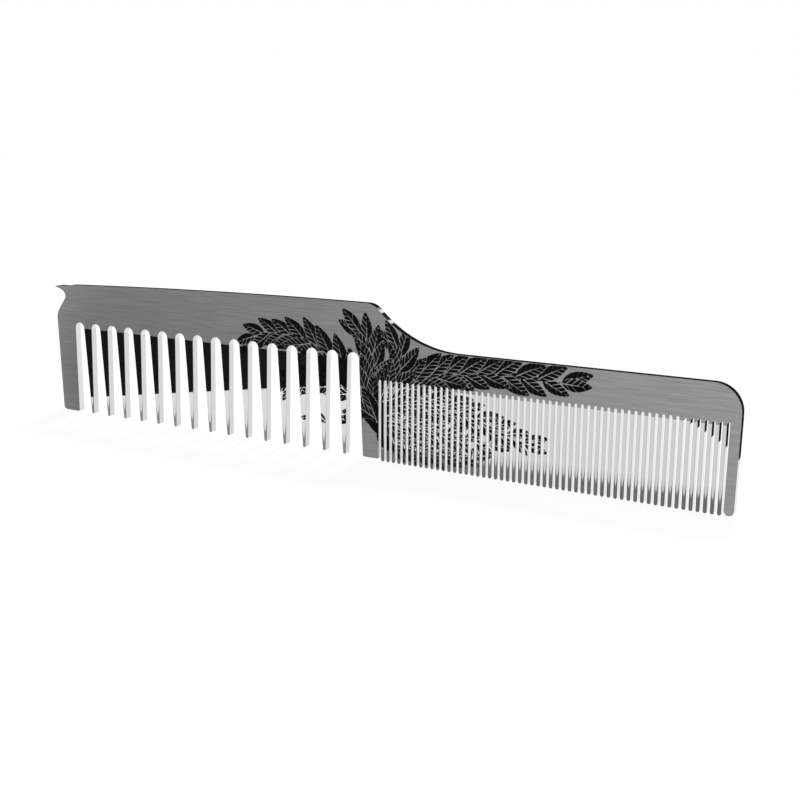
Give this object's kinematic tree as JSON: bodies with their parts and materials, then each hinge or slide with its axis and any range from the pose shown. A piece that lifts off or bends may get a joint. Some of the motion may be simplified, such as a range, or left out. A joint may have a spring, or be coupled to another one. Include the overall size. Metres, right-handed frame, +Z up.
{
  "type": "beard comb",
  "caption": "Flat steel beard comb with coarse teeth under a deep back, fine teeth under a shallow back, a curved shoulder between them and a small hook at one end.",
  "frame": {"origin": "under the middle of the comb's length and thickness, at the height of the fine tooth tips, on which it stands", "axes": "+X along the comb from the hook to the rounded end, +Y through its thickness away from the engraved face, +Z up from the tooth tips to the back"},
  "size_m": [0.179, 0.0018, 0.0357],
  "materials": {
    "brushed_steel_plate": "satin, fine grain along the comb",
    "polished_steel_teeth": "polished tooth faces, slot walls and rim",
    "black_engraving": "matt black filled engraving"
  },
  "bodies": {
    "root": {"hook_lip": "brushed_steel_plate", "hook_guard": "brushed_steel_plate", "deep_back": "brushed_steel_plate", "shoulder": "brushed_steel_plate", "shallow_back": "brushed_steel_plate", "divider": "brushed_steel_plate", "round_guard": "brushed_steel_plate", "coarse_tooth_01": "polished_steel_teeth", "coarse_tooth_02": "polished_steel_teeth", "coarse_tooth_03": "polished_steel_teeth", "coarse_tooth_04": "polished_steel_teeth", "coarse_tooth_05": "polished_steel_teeth", "coarse_tooth_06": "polished_steel_teeth", "coarse_tooth_07": "polished_steel_teeth", "coarse_tooth_08": "polished_steel_teeth", "coarse_tooth_09": "polished_steel_teeth", "coarse_tooth_10": "polished_steel_teeth", "coarse_tooth_11": "polished_steel_teeth", "coarse_tooth_12": "polished_steel_teeth", "coarse_tooth_13": "polished_steel_teeth", "coarse_tooth_14": "polished_steel_teeth", "coarse_tooth_15": "polished_steel_teeth", "fine_teeth_01": "polished_steel_teeth", "fine_teeth_02": "polished_steel_teeth", "fine_teeth_03": "polished_steel_teeth", "fine_teeth_04": "polished_steel_teeth", "fine_teeth_05": "polished_steel_teeth", "fine_teeth_06": "polished_steel_teeth", "fine_teeth_07": "polished_steel_teeth", "fine_teeth_08": "polished_steel_teeth", "fine_teeth_09": "polished_steel_teeth", "fine_teeth_10": "polished_steel_teeth", "fine_teeth_11": "polished_steel_teeth"}
  },
  "joints": []
}
